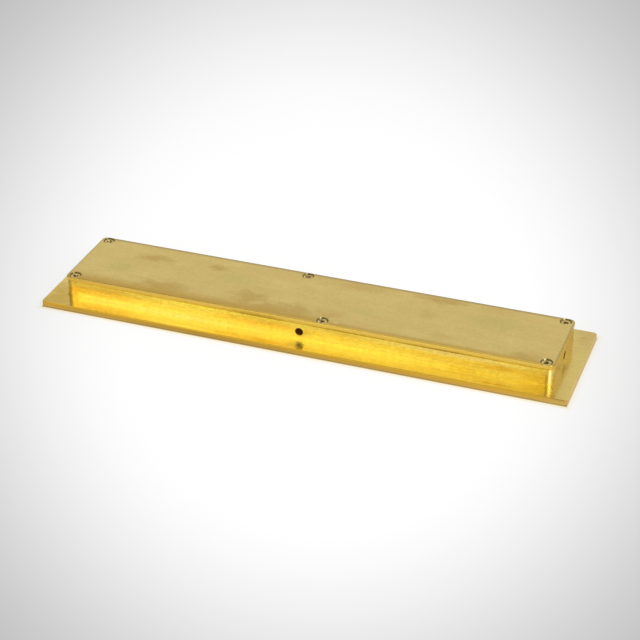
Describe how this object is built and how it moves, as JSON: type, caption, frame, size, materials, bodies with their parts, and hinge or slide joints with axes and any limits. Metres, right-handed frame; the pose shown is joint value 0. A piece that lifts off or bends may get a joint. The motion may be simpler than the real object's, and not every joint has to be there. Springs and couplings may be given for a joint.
{
  "type": "sliding door flush pull",
  "caption": "Rectangular brass flush pull for a sliding door: a flat flange with a walled finger recess, closed at the rear by a screwed-on plate.",
  "frame": {"origin": "centre of the visible face of the flange, on the level that the pull lies on", "axes": "+X along the pull, +Y across it, +Z from the visible face to the rear, into the door"},
  "size_m": [0.25, 0.06, 0.013],
  "materials": {
    "body_brass": "polished, finely brushed along its length",
    "plate_brass": "satin, finely brushed along its length",
    "screw_steel": "nickel plated"
  },
  "bodies": {
    "root": {"pull_body": "body_brass", "back_plate": "plate_brass", "back_plate_screws": "screw_steel"}
  },
  "joints": []
}
